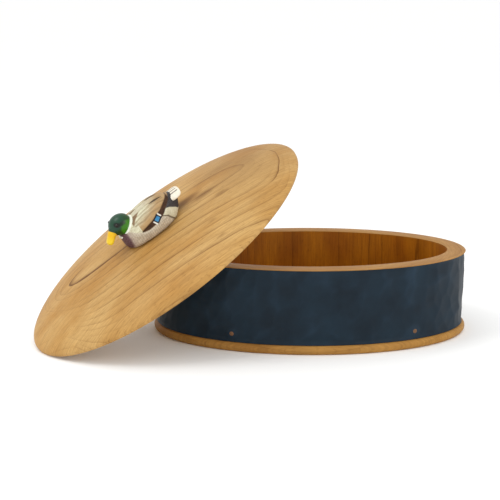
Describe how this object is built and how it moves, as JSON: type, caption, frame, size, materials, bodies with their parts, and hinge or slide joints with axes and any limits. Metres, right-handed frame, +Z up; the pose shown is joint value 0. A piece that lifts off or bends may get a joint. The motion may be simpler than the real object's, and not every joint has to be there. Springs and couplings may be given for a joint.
{
  "type": "oval lidded wooden box",
  "caption": "Deep oval wooden box with a painted wall, a rounded base lip, and a loose crowned lid lifted by a carved mallard drake.",
  "frame": {"origin": "centre of the box's flat underside, on the surface it stands on", "axes": "+X along the box's long axis, away from the side where the lid leans; +Y across the box, away from its front; +Z up"},
  "size_m": [0.4082, 0.231, 0.1752],
  "materials": {
    "oiled_cherry": "satin oil, figured grain",
    "navy_milk_paint": "satin milk paint over shallow gouge marks",
    "peg_dowel": "satin oil",
    "painted_plumage": "satin acrylic paint on carved wood",
    "green_head_paint": "gloss acrylic paint on carved wood",
    "black_glass": "gloss",
    "birch_dowel": "plain",
    "brass": "brushed"
  },
  "bodies": {
    "box": {"base_board": "oiled_cherry", "box_wall": "navy_milk_paint", "peg_front_left": "peg_dowel", "peg_front_right": "peg_dowel", "peg_back_left": "peg_dowel", "peg_back_right": "peg_dowel"},
    "eyes": {"duck_eyes": "black_glass"},
    "lid": {"lid_board": "oiled_cherry", "lid_liner": "oiled_cherry", "duck_body": "painted_plumage", "duck_head": "green_head_paint", "neck_dowel": "birch_dowel", "duck_screw_front": "brass", "duck_screw_rear": "brass"}
  },
  "joints": [
    {"name": "lid_path", "type": "hinge", "parent": "box", "child": "eyes", "pos_m": [-0.10263, -0.03055, 0.10429], "axis": [-0.3669, 0.9295, -0.0371], "range_deg": [0, 154.99]},
    {"name": "lid_turn", "type": "hinge", "parent": "eyes", "child": "lid", "pos_m": [-0.18155, -0.06134, 0.11342], "axis": [0.5494, -0.8354, -0.019], "range_deg": [0, 119.02]}
  ],
  "couplings": [
    {"joint": "lid_path", "follows": "lid_turn", "ratio": 1.3022}
  ]
}
